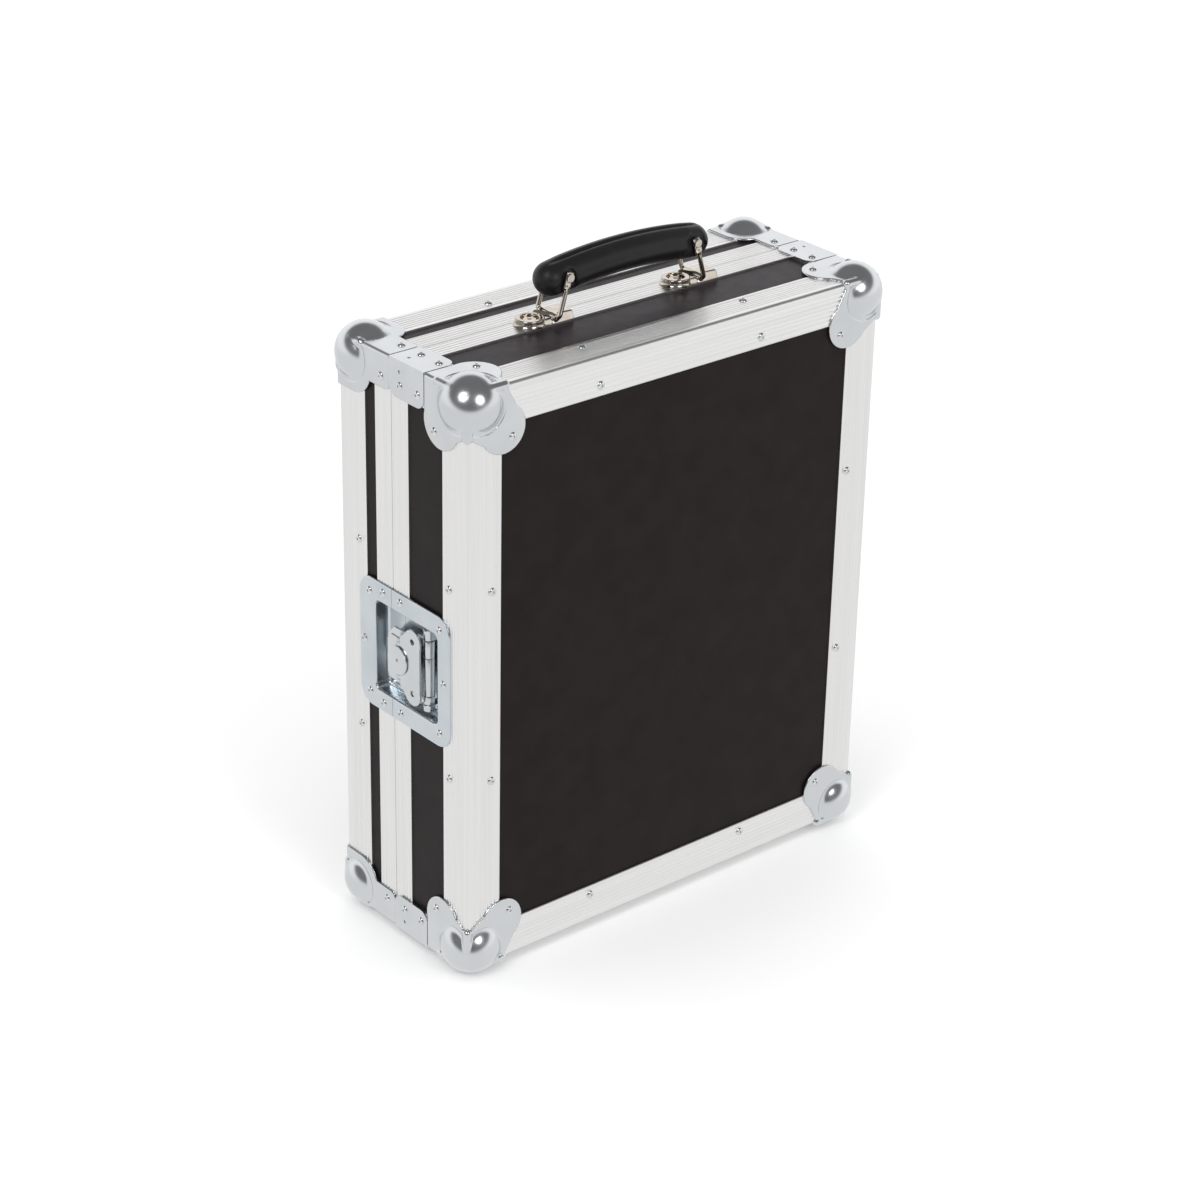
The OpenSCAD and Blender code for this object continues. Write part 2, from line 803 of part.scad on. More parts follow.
// Base plate of a stirrup, drawn about the hinge axis: a screw dome and a folded channel
module handle_plate(x) {
  dome_x = -dome_to_hinge;
  color(nickel) stand() at_handle(x) difference() {
    union() {
      translate([dome_x, 0, 0]) cylinder(r = plate_w / 2, h = dome_h);
      translate([dome_x, -plate_w / 2, 0])
        cube([plate_front, plate_w, plate_t]);
      translate([dome_x + channel_start, -plate_w / 2, 0])
        cube([plate_front - channel_start, plate_w, channel_h]);
    }
    translate([dome_x, 0, plate_t]) cylinder(r = dome_hole_r, h = dome_h);
    bar_y(0, hinge_up, wire_r + run_gap, plate_w);
  }
}

module handle_screws() {
  color(nickel) stand()
    for (s = [-0.5, 0.5])
      at_handle(handle_x + s * stirrup_span)
        translate([-dome_to_hinge, 0, plate_t]) difference() {
          cylinder(r1 = dome_hole_r - fit_gap, r2 = dome_hole_r - 1.5, h = 2.5);
          translate([0, 0, 1.5]) cylinder(r = 1.5, h = 2);
        }
}

// A bent wire: its foot is the hinge pin, its two legs end in flattened eyes.
// dir is +1 when the legs lean towards +X
module stirrup(x, dir, bore_r) {
  color(nickel) stand() at_handle(x) translate([0, 0, hinge_up]) difference() {
    rotate([0, dir * lean, 0]) {
      bar_y(0, 0, wire_r, leg_y);
      for (s = [-1, 1]) {
        translate([0, s * leg_y, 0]) sphere(r = wire_r);
        translate([0, s * leg_y, 0]) cylinder(r = wire_r, h = stirrup_len - pin_head_r - 2 * fit_gap);
        translate([0, s * leg_y, 0]) bar_y(0, stirrup_len, eye_r, eye_t / 2);
      }
    }
    rotate([0, dir * lean, 0]) bar_y(0, stirrup_len, bore_r, far);
  }
}

// Sunk flats in the grip's flanks, where the eyes and legs swing. dir points to the near end
module leg_pocket(dir) {
  points = [[-6.5, 6.5], [6.5, 6.5], [17.5, -15], [-6.5, -15]];
  for (s = [0, 1])
    mirror([0, s, 0])
      translate([0, pocket_depth_y + grip_r, 0]) rotate([90, 0, 0])
        linear_extrude(grip_r)
          union() {
            circle(r = 6.5);
            polygon([for (p = points) [dir * p[0], p[1]]]);
          }
}

// The ends of the grip taper in two steps past the curved middle
module grip_end() {
  cylinder(r1 = grip_r - 0.1, r2 = grip_r - 2.4, h = grip_taper / 2);
  translate([0, 0, grip_taper / 2])
    cylinder(r1 = grip_r - 2.4, r2 = grip_r - 7, h = grip_taper / 2);
}

module handle_grip() {
  centre_z = grip_rise - grip_arc_r;
  color(grip_black) stand() at_handle(handle_x) difference() {
    union() {
      translate([0, 0, centre_z]) {
        rotate([90, 0, 0]) rotate([0, 0, 90 - grip_half_angle])
          rotate_extrude(angle = 2 * grip_half_angle, $fn = 360)
            translate([grip_arc_r, 0]) circle(r = grip_r, $fn = 48);
        for (s = [-1, 1])
          rotate([0, s * grip_half_angle, 0]) translate([0, 0, grip_arc_r])
            rotate([0, s * 90, 0]) grip_end();
      }
    }
    for (s = [-1, 1]) translate([s * grip_span / 2, 0, eye_up]) leg_pocket(s);
    bar_y(-grip_span / 2, eye_up, cross_pin_r, far);
    bar_y(grip_span / 2, eye_up, slack_hole_r, far);
  }
}

module cross_pin(x) {
  head_t = 1.2;
  head_y = leg_y + eye_t / 2 + 0.1;
  color(nickel) stand() at_handle(x) {
    bar_y(0, eye_up, cross_pin_r, head_y + head_t / 2);
    for (s = [-1, 1]) translate([0, s * (head_y + head_t / 2), 0]) bar_y(0, eye_up, pin_head_r, head_t / 2);
  }
}

left_hinge_x = handle_x - stirrup_span / 2;
right_hinge_x = handle_x + stirrup_span / 2;
module handle_left_stirrup() { stirrup(left_hinge_x, 1, cross_pin_r + run_gap); }
module handle_right_stirrup() { stirrup(right_hinge_x, -1, cross_pin_r); }

// ---------------------------------------------------------------- what is drawn

big_board(skin_t);  // base_board
side_board(false, inner, base_end - base_web_t);  // base_left_board
side_board(true, inner, base_end - base_web_t);  // base_right_board
level_board(true, inner, base_end - base_web_t);  // base_top_board
level_board(false, inner, base_end - base_web_t);  // base_bottom_board
base_angle("left");  // base_left_angle
base_angle("right");  // base_right_angle
base_angle("top");  // base_top_angle
base_angle("bottom");  // base_bottom_angle
depth_angles(base_side_leg, base_depth - closing_leg, lid_arm_w);  // base_depth_angles
base_closing_profiles();
base_braces();
base_ball_corner(false, true);  // base_ball_corner_top_left
base_ball_corner(true, true);  // base_ball_corner_top_right
base_ball_corner(false, false);  // base_ball_corner_bottom_left
base_ball_corner(true, false);  // base_ball_corner_bottom_right
base_rivets();
base_foam_floor();
base_foam_walls();
base_foam_long_dividers();
base_foam_short_dividers();
big_board(case_d - inner);  // lid_board
side_board(false, lid_start + lid_web_t, case_d - inner);  // lid_left_board
side_board(true, lid_start + lid_web_t, case_d - inner);  // lid_right_board
level_board(true, lid_start + lid_web_t, case_d - inner);  // lid_top_board
level_board(false, lid_start + lid_web_t, case_d - inner);  // lid_bottom_board
lid_angle("left");  // lid_left_angle
lid_angle("right");  // lid_right_angle
lid_angle("top");  // lid_top_angle
lid_angle("bottom");  // lid_bottom_angle
depth_angles(base_depth + closing_leg, case_d - lid_side_leg, lid_arm_w - 1);  // lid_depth_angles
lid_closing_profiles();
lid_ball_corner(false, true);  // lid_ball_corner_top_left
lid_ball_corner(true, true);  // lid_ball_corner_top_right
lid_ball_corner(false, false);  // lid_ball_corner_bottom_left
lid_ball_corner(true, false);  // lid_ball_corner_bottom_right
lid_rivets();
lid_foam();
latch_left_dish_base();
latch_left_dish_lid();
latch_left_hinge_pin();
latch_left_arm();
latch_left_cam();
latch_left_wing();
latch_left_hook();
latch_right_dish_base();
latch_right_dish_lid();
latch_right_hinge_pin();
latch_right_arm();
latch_right_cam();
latch_right_wing();
latch_right_hook();
handle_plate(left_hinge_x);  // handle_left_plate
handle_plate(right_hinge_x);  // handle_right_plate
handle_screws();
handle_left_stirrup();
handle_right_stirrup();
handle_grip();
cross_pin(handle_x - grip_span / 2);  // handle_left_cross_pin
cross_pin(handle_x + grip_span / 2);  // handle_right_cross_pin
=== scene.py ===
"""The looks of an upright carry case for miniatures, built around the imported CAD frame.
Lengths are in millimetres in the case's own frame until place() turns them into metres."""
import math

import bmesh
import bpy
import numpy as np
from mathutils import Matrix, Vector


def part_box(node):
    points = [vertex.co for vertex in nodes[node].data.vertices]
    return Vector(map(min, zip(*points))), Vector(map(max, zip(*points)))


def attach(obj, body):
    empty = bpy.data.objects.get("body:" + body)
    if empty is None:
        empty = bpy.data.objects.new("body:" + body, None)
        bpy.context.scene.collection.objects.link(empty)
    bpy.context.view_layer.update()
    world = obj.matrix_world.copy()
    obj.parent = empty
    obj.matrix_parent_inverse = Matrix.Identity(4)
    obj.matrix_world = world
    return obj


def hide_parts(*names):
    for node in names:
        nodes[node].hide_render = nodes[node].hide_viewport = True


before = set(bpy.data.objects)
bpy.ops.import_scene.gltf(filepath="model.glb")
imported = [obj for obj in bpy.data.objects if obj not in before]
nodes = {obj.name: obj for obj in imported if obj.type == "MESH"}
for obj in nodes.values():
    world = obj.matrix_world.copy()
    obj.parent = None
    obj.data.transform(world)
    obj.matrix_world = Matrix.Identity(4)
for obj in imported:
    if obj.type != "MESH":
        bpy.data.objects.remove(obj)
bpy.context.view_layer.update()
MM = 0.001
TAU = 2 * math.pi

# ------------------------------------------------------------------ the case's own frame

ORIGIN = Vector((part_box("base_left_angle")[0].x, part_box("base_left_angle")[0].y,
                 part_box("base_bottom_angle")[0].z))
FAR_CORNER = Vector((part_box("base_right_angle")[1].x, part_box("lid_left_angle")[1].y,
                     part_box("base_top_angle")[1].z))
W, D, H = (FAR_CORNER - ORIGIN) / MM


def place(x, y, z):
    return ORIGIN + Vector((x, y, z)) * MM


def case_box(node):
    """Lowest and highest corner of a CAD node in the case's own frame, in millimetres."""
    lo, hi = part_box(node)
    return (lo - ORIGIN) / MM, (hi - ORIGIN) / MM


def islands(node):
    """The box of each separate solid of a CAD node, in the case's own frame."""
    bm = bmesh.new()
    bm.from_mesh(nodes[node].data)
    bmesh.ops.remove_doubles(bm, verts=bm.verts, dist=1e-6)
    seen, found = set(), []
    for first in bm.verts:
        if first in seen:
            continue
        stack, members = [first], []
        seen.add(first)
        while stack:
            v = stack.pop()
            members.append(v.co.copy())
            for e in v.link_edges:
                w = e.other_vert(v)
                if w not in seen:
                    seen.add(w)
                    stack.append(w)
        co = np.array(members)
        lo, hi = Vector(co.min(0)), Vector(co.max(0))
        found.append(((lo - ORIGIN) / MM, (hi - ORIGIN) / MM))
    bm.free()
    return found


# ------------------------------------------------------------------ meshes

SHARP = math.radians(32)


def mark_smooth(bm, sharp=SHARP):
    for f in bm.faces:
        f.smooth = True
    for e in bm.edges:
        e.smooth = len(e.link_faces) == 2 and e.calc_face_angle(0) < sharp


def piece(name, bm, body, material, replaced=()):
    """Turns a bmesh in the case's frame into a piece that rides on a body."""
    bmesh.ops.recalc_face_normals(bm, faces=bm.faces)
    mark_smooth(bm)
    for v in bm.verts:
        v.co = place(*v.co)
    mesh = bpy.data.meshes.new(name)
    bm.to_mesh(mesh)
    bm.free()
    return mesh_piece(name, mesh, body, material, replaced)


def mesh_piece(name, mesh, body, material, replaced=()):
    obj = bpy.data.objects.new(name, mesh)
    bpy.context.scene.collection.objects.link(obj)
    mesh.materials.append(material)
    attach(obj, body)
    if replaced:
        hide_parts(*replaced)
    return obj


def add_loop_stack(bm, rings, close=True, cap_start=False, cap_end=False):
    """Skins rings of points, each with the same count, into quads."""
    made = [[bm.verts.new(p) for p in ring] for ring in rings]
    for a, b in zip(made, made[1:]):
        n = len(a)
        for i in range(n if close else n - 1):
            j = (i + 1) % n
            bm.faces.new((a[i], a[j], b[j], b[i]))
    if cap_start:
        bm.faces.new(list(reversed(made[0])))
    if cap_end:
        bm.faces.new(made[-1])
    return made


def lathe(bm, profile, origin, axis, steps=28):
    """Turns (radius, height) points round an axis. A radius of 0 closes an end."""
    up = Vector(axis).normalized()
    side = Vector((0, 0, 1)) if abs(up.z) < 0.9 else Vector((1, 0, 0))
    a = up.cross(side).normalized()
    b = up.cross(a)
    turns = [TAU * i / steps for i in range(steps)]
    rings = []
    for r, h in profile:
        r = max(r, 1e-3)
        rings.append([Vector(origin) + up * h + (a * math.cos(t) + b * math.sin(t)) * r for t in turns])
    add_loop_stack(bm, rings, cap_start=True, cap_end=True)


def block(bm, lo, hi, bevel=0.0, steps=3):
    """A box with rounded edges."""
    lo, hi = Vector(lo), Vector(hi)
    made = bmesh.ops.create_cube(bm, size=1)["verts"]
    for v in made:
        v.co = Vector(((lo[i] + hi[i]) / 2 + v.co[i] * (hi[i] - lo[i]) for i in range(3)))
    if bevel:
        edges = list({e for v in made for e in v.link_edges})
        bmesh.ops.bevel(bm, geom=edges, offset=bevel, segments=steps, profile=0.5, affect="EDGES")


# ------------------------------------------------------------------ materials


def material(name, dark, light, rough, metallic=0.0, grain=(1, 1, 1), scale=60.0, bump=0.0,
             bump_scale=600.0, bump_grain=None, detail=4.0, specular=0.5, **sockets):
    """A procedural finish: one noise each for the drift of colour, of roughness and of relief.
    Further keywords set sockets of the shader."""
    m = bpy.data.materials.new(name)
    m.use_nodes = True
    tree = m.node_tree
    shader = tree.nodes["Principled BSDF"]
    new, link = tree.nodes.new, tree.links.new
    coords = new("ShaderNodeTexCoord")

    def noise(size, stretch, detail_level):
        mapping = new("ShaderNodeMapping")
        mapping.inputs["Scale"].default_value = stretch
        texture = new("ShaderNodeTexNoise")
        texture.inputs["Scale"].default_value = size
        texture.inputs["Detail"].default_value = detail_level
        texture.inputs["Roughness"].default_value = 0.6
        link(coords.outputs["Object"], mapping.inputs["Vector"])
        link(mapping.outputs["Vector"], texture.inputs["Vector"])
        return texture

    drift = noise(scale, grain, detail)
    ramp = new("ShaderNodeValToRGB")
    ramp.color_ramp.elements[0].position = 0.3
    ramp.color_ramp.elements[1].position = 0.7
    ramp.color_ramp.elements[0].color = (*dark, 1)
    ramp.color_ramp.elements[1].color = (*light, 1)
    link(drift.outputs["Fac"], ramp.inputs["Fac"])
    link(ramp.outputs["Color"], shader.inputs["Base Color"])
    spread = new("ShaderNodeMapRange")
    spread.inputs["From Min"].default_value = 0.3
    spread.inputs["From Max"].default_value = 0.7
    spread.inputs["To Min"].default_value = rough[0]
    spread.inputs["To Max"].default_value = rough[1]
    link(noise(scale * 2.3, grain, detail).outputs["Fac"], spread.inputs["Value"])
    link(spread.outputs["Result"], shader.inputs["Roughness"])
    if bump:
        relief = new("ShaderNodeBump")
        relief.inputs["Strength"].default_value = bump
        relief.inputs["Distance"].default_value = 0.0002
        link(noise(bump_scale, bump_grain or grain, 3).outputs["Fac"], relief.inputs["Height"])
        link(relief.outputs["Normal"], shader.inputs["Normal"])
    shader.inputs["Metallic"].default_value = metallic
    shader.inputs["Specular IOR Level"].default_value = specular
    for key, value in sockets.items():
        shader.inputs[key.replace("_", " ")].default_value = value
    return m


LAMINATE = material("laminate", (0.0070, 0.0052, 0.0042), (0.0105, 0.0080, 0.0067), (0.28, 0.38), scale=45,
                    bump=0.3, bump_scale=1700, specular=0.10, Sheen_Weight=0.11, Sheen_Roughness=0.35,
                    Sheen_Tint=(0.78, 0.62, 0.9, 1))


def aluminium(name, grain):
    return material(name, (0.83, 0.825, 0.82), (0.88, 0.875, 0.87), (0.27, 0.31), metallic=1.0, grain=grain,
                    scale=230, detail=2, bump=0.02, bump_scale=600)


ALONG = {"x": aluminium("aluminium_x", (0.02, 1, 1)), "y": aluminium("aluminium_y", (1, 0.02, 1)),
         "z": aluminium("aluminium_z", (1, 1, 0.02))}
STEEL = material("zinc_steel", (0.65, 0.675, 0.69), (0.71, 0.73, 0.745), (0.20, 0.25), metallic=1.0, scale=26,
                 detail=2, bump=0.04, bump_scale=120)
DISH = material("dish_steel", (0.60, 0.65, 0.685), (0.67, 0.71, 0.74), (0.20, 0.26), metallic=1.0, scale=30,
                detail=2, bump=0.04, bump_scale=120)
RIVET = material("rivet_steel", (0.66, 0.67, 0.68), (0.78, 0.79, 0.79), (0.14, 0.22), metallic=1.0, scale=200,
                 detail=2, bump=0.05, bump_scale=500)
NICKEL = material("nickel_steel", (0.56, 0.50, 0.44), (0.68, 0.62, 0.56), (0.09, 0.14), metallic=1.0,
                  scale=120, detail=2, bump=0.03, bump_scale=300)
GRIP = material("grip_plastic", (0.0068, 0.0068, 0.0072), (0.0095, 0.0095, 0.010), (0.34, 0.42), scale=120,
                bump=0.35, bump_scale=2400, specular=0.3)
FOAM = material("foam", (0.022, 0.022, 0.026), (0.045, 0.045, 0.052), (0.9, 1.0), scale=700, detail=6,
                bump=1.0, bump_scale=1800, specular=0.15)
# Painted shade: a near-black finish for each rivet's shallow bore floor, standing in for the shadow down the
# hollow rivet
PAINTED_BORE_SHADE = material("rivet_bore_painted_shade", (0.02, 0.02, 0.02), (0.05, 0.05, 0.05), (0.5, 0.7), scale=300)


def dress(names, finish, bevel=0.0, segments=2):
    """A carried-over CAD node: a finish and, where it is hardware, rounded edges."""
    for name in names:
        obj = nodes[name]
        obj.data.materials.clear()
        obj.data.materials.append(finish)
        if bevel:
            weld = obj.modifiers.new("weld", "WELD")
            weld.merge_threshold = 1e-6
            flat = obj.modifiers.new("flatten", "DECIMATE")
            flat.decimate_type = "DISSOLVE"
            flat.angle_limit = math.radians(0.5)
            soft = obj.modifiers.new("round", "BEVEL")
            soft.width = bevel * MM
            soft.segments = segments
            soft.limit_method = "ANGLE"
            soft.angle_limit = math.radians(40)
            soft.harden_normals = False


# ------------------------------------------------------------------ aluminium edging

SKIN = 1.5
NOSE_R = 2.2
FRONT_LEG = 28.5
GROOVE_DEPTH = 0.16
GROOVE_HALF = 0.6
EDGE_RIBS = 7
CLOSING_RIBS = 5
FLANGE_T = 1.2
SIDES = ("left", "right", "bottom", "top")


def ribbed(length, start, stop, count):
    """An outer face as (along, depth) points with evenly spaced grooves between start and stop."""
    line = [(start - 2 * GROOVE_HALF, 0.0)]
    for i in range(count):
        u = start + (stop - start) * i / (count - 1)
        line += [(u - GROOVE_HALF, 0.0), (u - GROOVE_HALF * 0.4, GROOVE_DEPTH),
                 (u + GROOVE_HALF * 0.4, GROOVE_DEPTH), (u + GROOVE_HALF, 0.0)]
    line += [(length - 0.5, 0.0), (length, 0.35)]
    return line


def bar(bm, section, side, start=None, stop=None, overlap=0.0):
    """Sweeps a closed section of (inset, y) points along one side of the frame.
    An end is mitred at 45 degrees unless start or stop gives a square cut."""
    length = H if side in ("left", "right") else W

    def at(d, y, s):
        if side == "left":
            return (d, y, s)
        if side == "right":
            return (W - d, y, s)
        if side == "bottom":
            return (s, y, d)
        return (s, y, H - d)

    low = [at(d, y, d + overlap if start is None else start) for d, y in section]
    high = [at(d, y, length - d - overlap if stop is None else stop) for d, y in section]
    add_loop_stack(bm, [low, high], cap_start=True, cap_end=True)


def angle_section(side_leg, lid):
    """The L of an edge angle as (inset, y) points: its two outer faces are ribbed, its nose is round."""
    side_face = [(d, y) for y, d in reversed(ribbed(side_leg, 6.0, side_leg - 4.5, EDGE_RIBS))]
    front_face = ribbed(case_box("base_board")[0].x + FRONT_LEG, 6.0, FRONT_LEG - 3.0, EDGE_RIBS)
    arc = [(NOSE_R - NOSE_R * math.cos(a), NOSE_R - NOSE_R * math.sin(a))
           for a in (math.radians(15 * i) for i in range(7))]
    section = side_face + arc + front_face
    section += [(front_face[-1][0], SKIN), (SKIN, SKIN), (SKIN, side_leg)]
    return [(d, D - y) for d, y in section] if lid else section


for half in ("base", "lid"):
    lo, hi = case_box(f"{half}_left_angle")
    section = angle_section(hi.y - lo.y, half == "lid")
    for side in SIDES:
        bm = bmesh.new()
        bar(bm, section, side, overlap=0.05)
        piece(f"{half}_{side}_edging", bm, half, ALONG["z" if side in ("left", "right") else "x"],
              [f"{half}_{side}_angle"])


def closing_section(half):
    """A closing profile as (inset, y) points: ribbed outer leg, web and inner flange round the board's edge.
    The base's has a tongue on its web, the lid's a groove."""
    lo, hi = case_box(f"{half}_closing_profiles")
    board_in = case_box(f"{half}_left_board")[1].x
    inner = board_in + FLANGE_T
    if half == "base":
        end = case_box("base_braces")[1].y
        leg = end - lo.y
        outer = [(d, end - u) for u, d in ribbed(leg, 2.6, leg - 2.8, CLOSING_RIBS)]
        flange = end - 11.8
        tongue = [(3.9, end), (3.9, hi.y - 0.4), (4.3, hi.y), (6.2, hi.y), (6.6, hi.y - 0.4), (6.6, end)]
        return ([(SKIN, end - leg), (SKIN, end - 2), (board_in, end - 2), (board_in, flange), (inner, flange),
                 (inner, end - 0.3), (inner - 0.3, end)] + tongue[::-1] + [(0.3, end)] + outer)
    start = lo.y
    leg = hi.y - lo.y
    outer = [(d, start + u) for u, d in ribbed(leg, 2.6, leg - 2.8, CLOSING_RIBS)]
    flange = start + 12.8
    groove = [(3.6, start), (3.6, start + 2.6), (6.9, start + 2.6), (6.9, start)]
    return ([(SKIN, start + leg), (SKIN, start + 3), (board_in, start + 3), (board_in, flange),
             (inner, flange), (inner, start + 0.3), (inner - 0.3, start)] + groove[::-1]
            + [(0.3, start)] + outer)


for half in ("base", "lid"):
    section = closing_section(half)
    cuts = sorted({round(v, 3) for lo, hi in islands(f"{half}_closing_profiles") if hi.x < W / 2
                   for v in (lo.z, hi.z)})
    room_low, room_high = cuts[1], cuts[-2]
    for side in SIDES:
        bm = bmesh.new()
        if side in ("left", "right"):
            bar(bm, section, side, stop=room_low)
            bar(bm, section, side, start=room_high)
        else:
            bar(bm, section, side, overlap=0.05)
        piece(f"{half}_{side}_closing_profile", bm, half,
              ALONG["z" if side in ("left", "right") else "x"],
              [f"{half}_closing_profiles"] if side == "left" else [])

# ------------------------------------------------------------------ pressed ball corners

BALL_R = 22.0
BALL_C = 13.5
STEEL_T = 1.5
STEEL_IN = 0.8  # how far the sheet sinks into the case, so that no gap shows
FOLD_R = 1.2
LEDGE = -6.0  # how far the plates' outlines run past the case's edges
BASE_APEX = 33
LID_APEX = 39
LOBE_C, LOBE_R = 32.1, 18.7
LOBE_FAR, LOBE_NEAR = 50.2, 27.3
WAIST_FAR, WAIST_NEAR = 44.5, 19.0
BRACE_EDGE = 46.2
ARM_END = 60.7
ARM_W = 25.5
ARM_CORNER = 4
LEG_C, LEG_R = (20, 19), 19
PRESS_REACH, PRESS_DEPTH, PRESS_W = 23.6, 0.5, 0.8
THUMB_START, THUMB_IN, THUMB_R = 16, 0.6, 3.3
TIP = 9
EDGE_SOFT, PLATE_SOFT, BALL_SOFT, THUMB_SOFT = 0.4, 0.9, 1.7, 1.2


def polygon_distance(points, u, v):
    """Signed distance to a closed outline, negative inside."""
    best = np.full(u.shape, 1e9)
    inside = np.zeros(u.shape, bool)
    for (ax, ay), (bx, by) in zip(points, points[1:] + points[:1]):
        ex, ey = bx - ax, by - ay
        t = np.clip(((u - ax) * ex + (v - ay) * ey) / (ex * ex + ey * ey), 0, 1)
        best = np.minimum(best, np.hypot(u - ax - t * ex, v - ay - t * ey))
        if ay != by:
            inside ^= ((ay > v) != (by > v)) & (u < ex * (v - ay) / ey + ax)
    return np.where(inside, -best, best)


def blend_min(a, b, k):
    """The union of two fields, rounded over a width of k where they meet."""
    return np.minimum(a, b) - np.maximum(k - np.abs(a - b), 0) ** 2 / (4 * k)


def blend_max(a, b, k):
    """The overlap of two fields, rounded over a width of k where they meet."""
    return -blend_min(-a, -b, k)


def lobe(apex, shift, reach=None):
    """A rounded lobe on a face's diagonal. With a reach, its second edge runs straight to that length."""
    su, sv = shift
    points = [(LEDGE, LEDGE), (apex, LEDGE), (apex, 1.0), (WAIST_FAR - su, WAIST_NEAR),
              (LOBE_FAR - su, LOBE_NEAR), (LOBE_NEAR, LOBE_FAR - sv)]
    if reach:
        points += [(1.0, reach), (LEDGE, reach)]
    else:
        points += [(WAIST_NEAR, WAIST_FAR - sv), (1.0, apex), (LEDGE, apex)]

    def outline(u, v):
        circle = np.hypot(u - LOBE_C + su, v - LOBE_C + sv) - LOBE_R
        return np.minimum(polygon_distance(points, u, v), circle)
    return outline


def arm(apex, end):
    """The lid's side plate: a rounded leg along one edge and a square-ended arm along the other."""
    cut = 0.3 * ARM_CORNER
    points = [(LEDGE, LEDGE), (apex, LEDGE), (apex, LEG_C[1]), (ARM_W, LEG_C[1] + LEG_R - 2),
              (ARM_W, end - ARM_CORNER), (ARM_W - cut, end - cut), (ARM_W - ARM_CORNER, end), (LEDGE, end)]

    def outline(u, v):
        circle = np.hypot(u - LEG_C[0], v - LEG_C[1]) - LEG_R
        return np.minimum(polygon_distance(points, u, v), circle)
    return outline


def corner_field(front, top, side, thumb_end):
    """The pressed corner as a distance field in the corner's own frame, axes pointing into the case:
    a ball, three plates folded round the case, and a rounded stiffener along each fold."""
    def field(x, y, z):
        q = [FOLD_R - x, FOLD_R - y, FOLD_R - z]
        out = np.sqrt(sum(np.maximum(c, 0) ** 2 for c in q))
        case = out + np.minimum(np.maximum(np.maximum(q[0], q[1]), q[2]), 0) - FOLD_R
        reach = np.sqrt((x - BALL_C) ** 2 + (y - BALL_C) ** 2 + (z - BALL_C) ** 2)
        groove = PRESS_DEPTH * np.exp(-((reach - PRESS_REACH) / PRESS_W) ** 2) * (reach > BALL_R)
        sheet = np.maximum(case - STEEL_T + groove, -(case + STEEL_IN))
        plates = [blend_max(front(x, z), y - 1.0, EDGE_SOFT), blend_max(top(x, y), z - 1.0, EDGE_SOFT),
                  blend_max(side(z, y), x - 1.0, EDGE_SOFT)]
        edge = np.minimum(np.minimum(plates[0], plates[1]), plates[2])
        # The sheet's own corner would stick out of the ball, so it is cut off inside the ball
        tip = (TIP - x - y - z) / math.sqrt(3)
        shell = np.maximum(blend_max(edge, sheet, PLATE_SOFT), tip)
        body = blend_min(shell, reach - BALL_R, BALL_SOFT)
        p = (x, y, z)
        for axis in range(3):
            s = p[axis]
            others = [p[i] for i in range(3) if i != axis]
            t = np.clip(s, THUMB_START, thumb_end)
            away = np.sqrt((others[0] - THUMB_IN) ** 2 + (others[1] - THUMB_IN) ** 2 + (s - t) ** 2)
            body = blend_min(body, away - THUMB_R, THUMB_SOFT)
        inside_case = np.minimum(np.minimum(x, y), z) - 0.9
        return blend_max(body, inside_case, 0.3)
    return field


